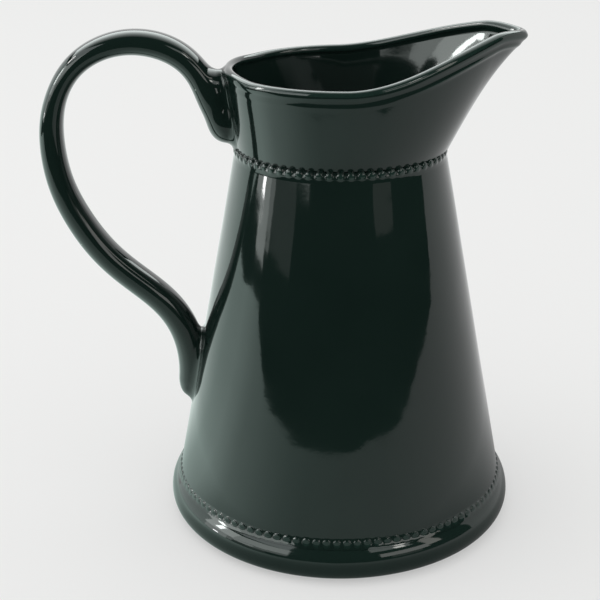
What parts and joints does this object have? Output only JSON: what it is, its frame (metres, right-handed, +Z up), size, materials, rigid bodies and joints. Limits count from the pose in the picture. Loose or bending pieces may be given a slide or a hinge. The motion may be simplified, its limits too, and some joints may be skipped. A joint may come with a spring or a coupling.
{
  "type": "pitcher",
  "caption": "Dark green glazed ceramic pitcher with conical body, beaded bands, rolled foot and rim, drawn pouring spout and looped strap handle.",
  "frame": {"origin": "on the table under the middle of the footprint's bounding box; the body's own axis is 26.1 mm towards +X from it", "axes": "+Z up, +X towards the pouring spout, the handle is towards -X, the XZ plane is the plane of symmetry"},
  "size_m": [0.2172, 0.165, 0.2323],
  "materials": {
    "green_glaze": "very dark green gloss glaze, slightly lighter where it thins over beads and edges",
    "bare_clay": "unglazed pale clay, matt"
  },
  "bodies": {
    "root": {"base_floor": "green_glaze", "standing_ring": "bare_clay", "foot_roll": "green_glaze", "foot_bead_band": "green_glaze", "body_wall": "green_glaze", "neck_bead_band": "green_glaze", "collar_spout": "green_glaze", "rim_roll": "green_glaze", "handle_loop": "green_glaze", "handle_upper_root": "green_glaze", "handle_lower_root": "green_glaze"}
  },
  "joints": []
}
